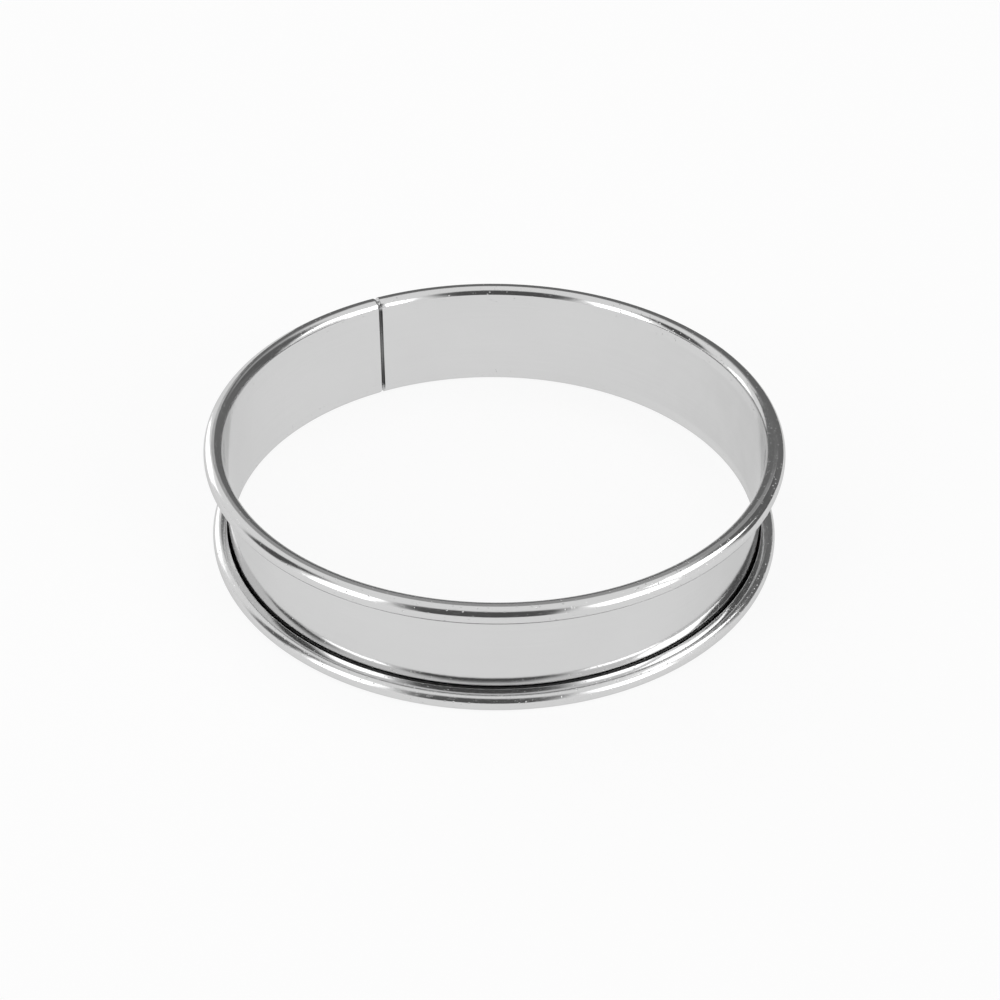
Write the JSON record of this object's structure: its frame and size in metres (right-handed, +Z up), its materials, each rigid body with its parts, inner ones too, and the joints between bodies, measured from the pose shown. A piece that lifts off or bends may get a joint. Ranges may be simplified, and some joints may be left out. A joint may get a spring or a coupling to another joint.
{
  "type": "tart ring",
  "caption": "Round bottomless pastry ring of polished stainless sheet, with both edges rolled outwards round wires and a spot-welded lap seam.",
  "frame": {"origin": "middle of the ring on the plane that its lower bead stands on", "axes": "+Z up along the ring's axis, +Y towards the lap seam, +X to the right seen from the side opposite the seam"},
  "size_m": [0.1, 0.1, 0.021],
  "materials": {
    "polished_stainless": "polished",
    "drawn_wire": "satin",
    "weld_metal": "matte"
  },
  "bodies": {
    "root": {"rolled_band": "polished_stainless", "lower_rim_wire": "drawn_wire", "upper_rim_wire": "drawn_wire", "seam_weld_lower": "weld_metal", "seam_weld_middle": "weld_metal", "seam_weld_upper": "weld_metal"}
  },
  "joints": []
}
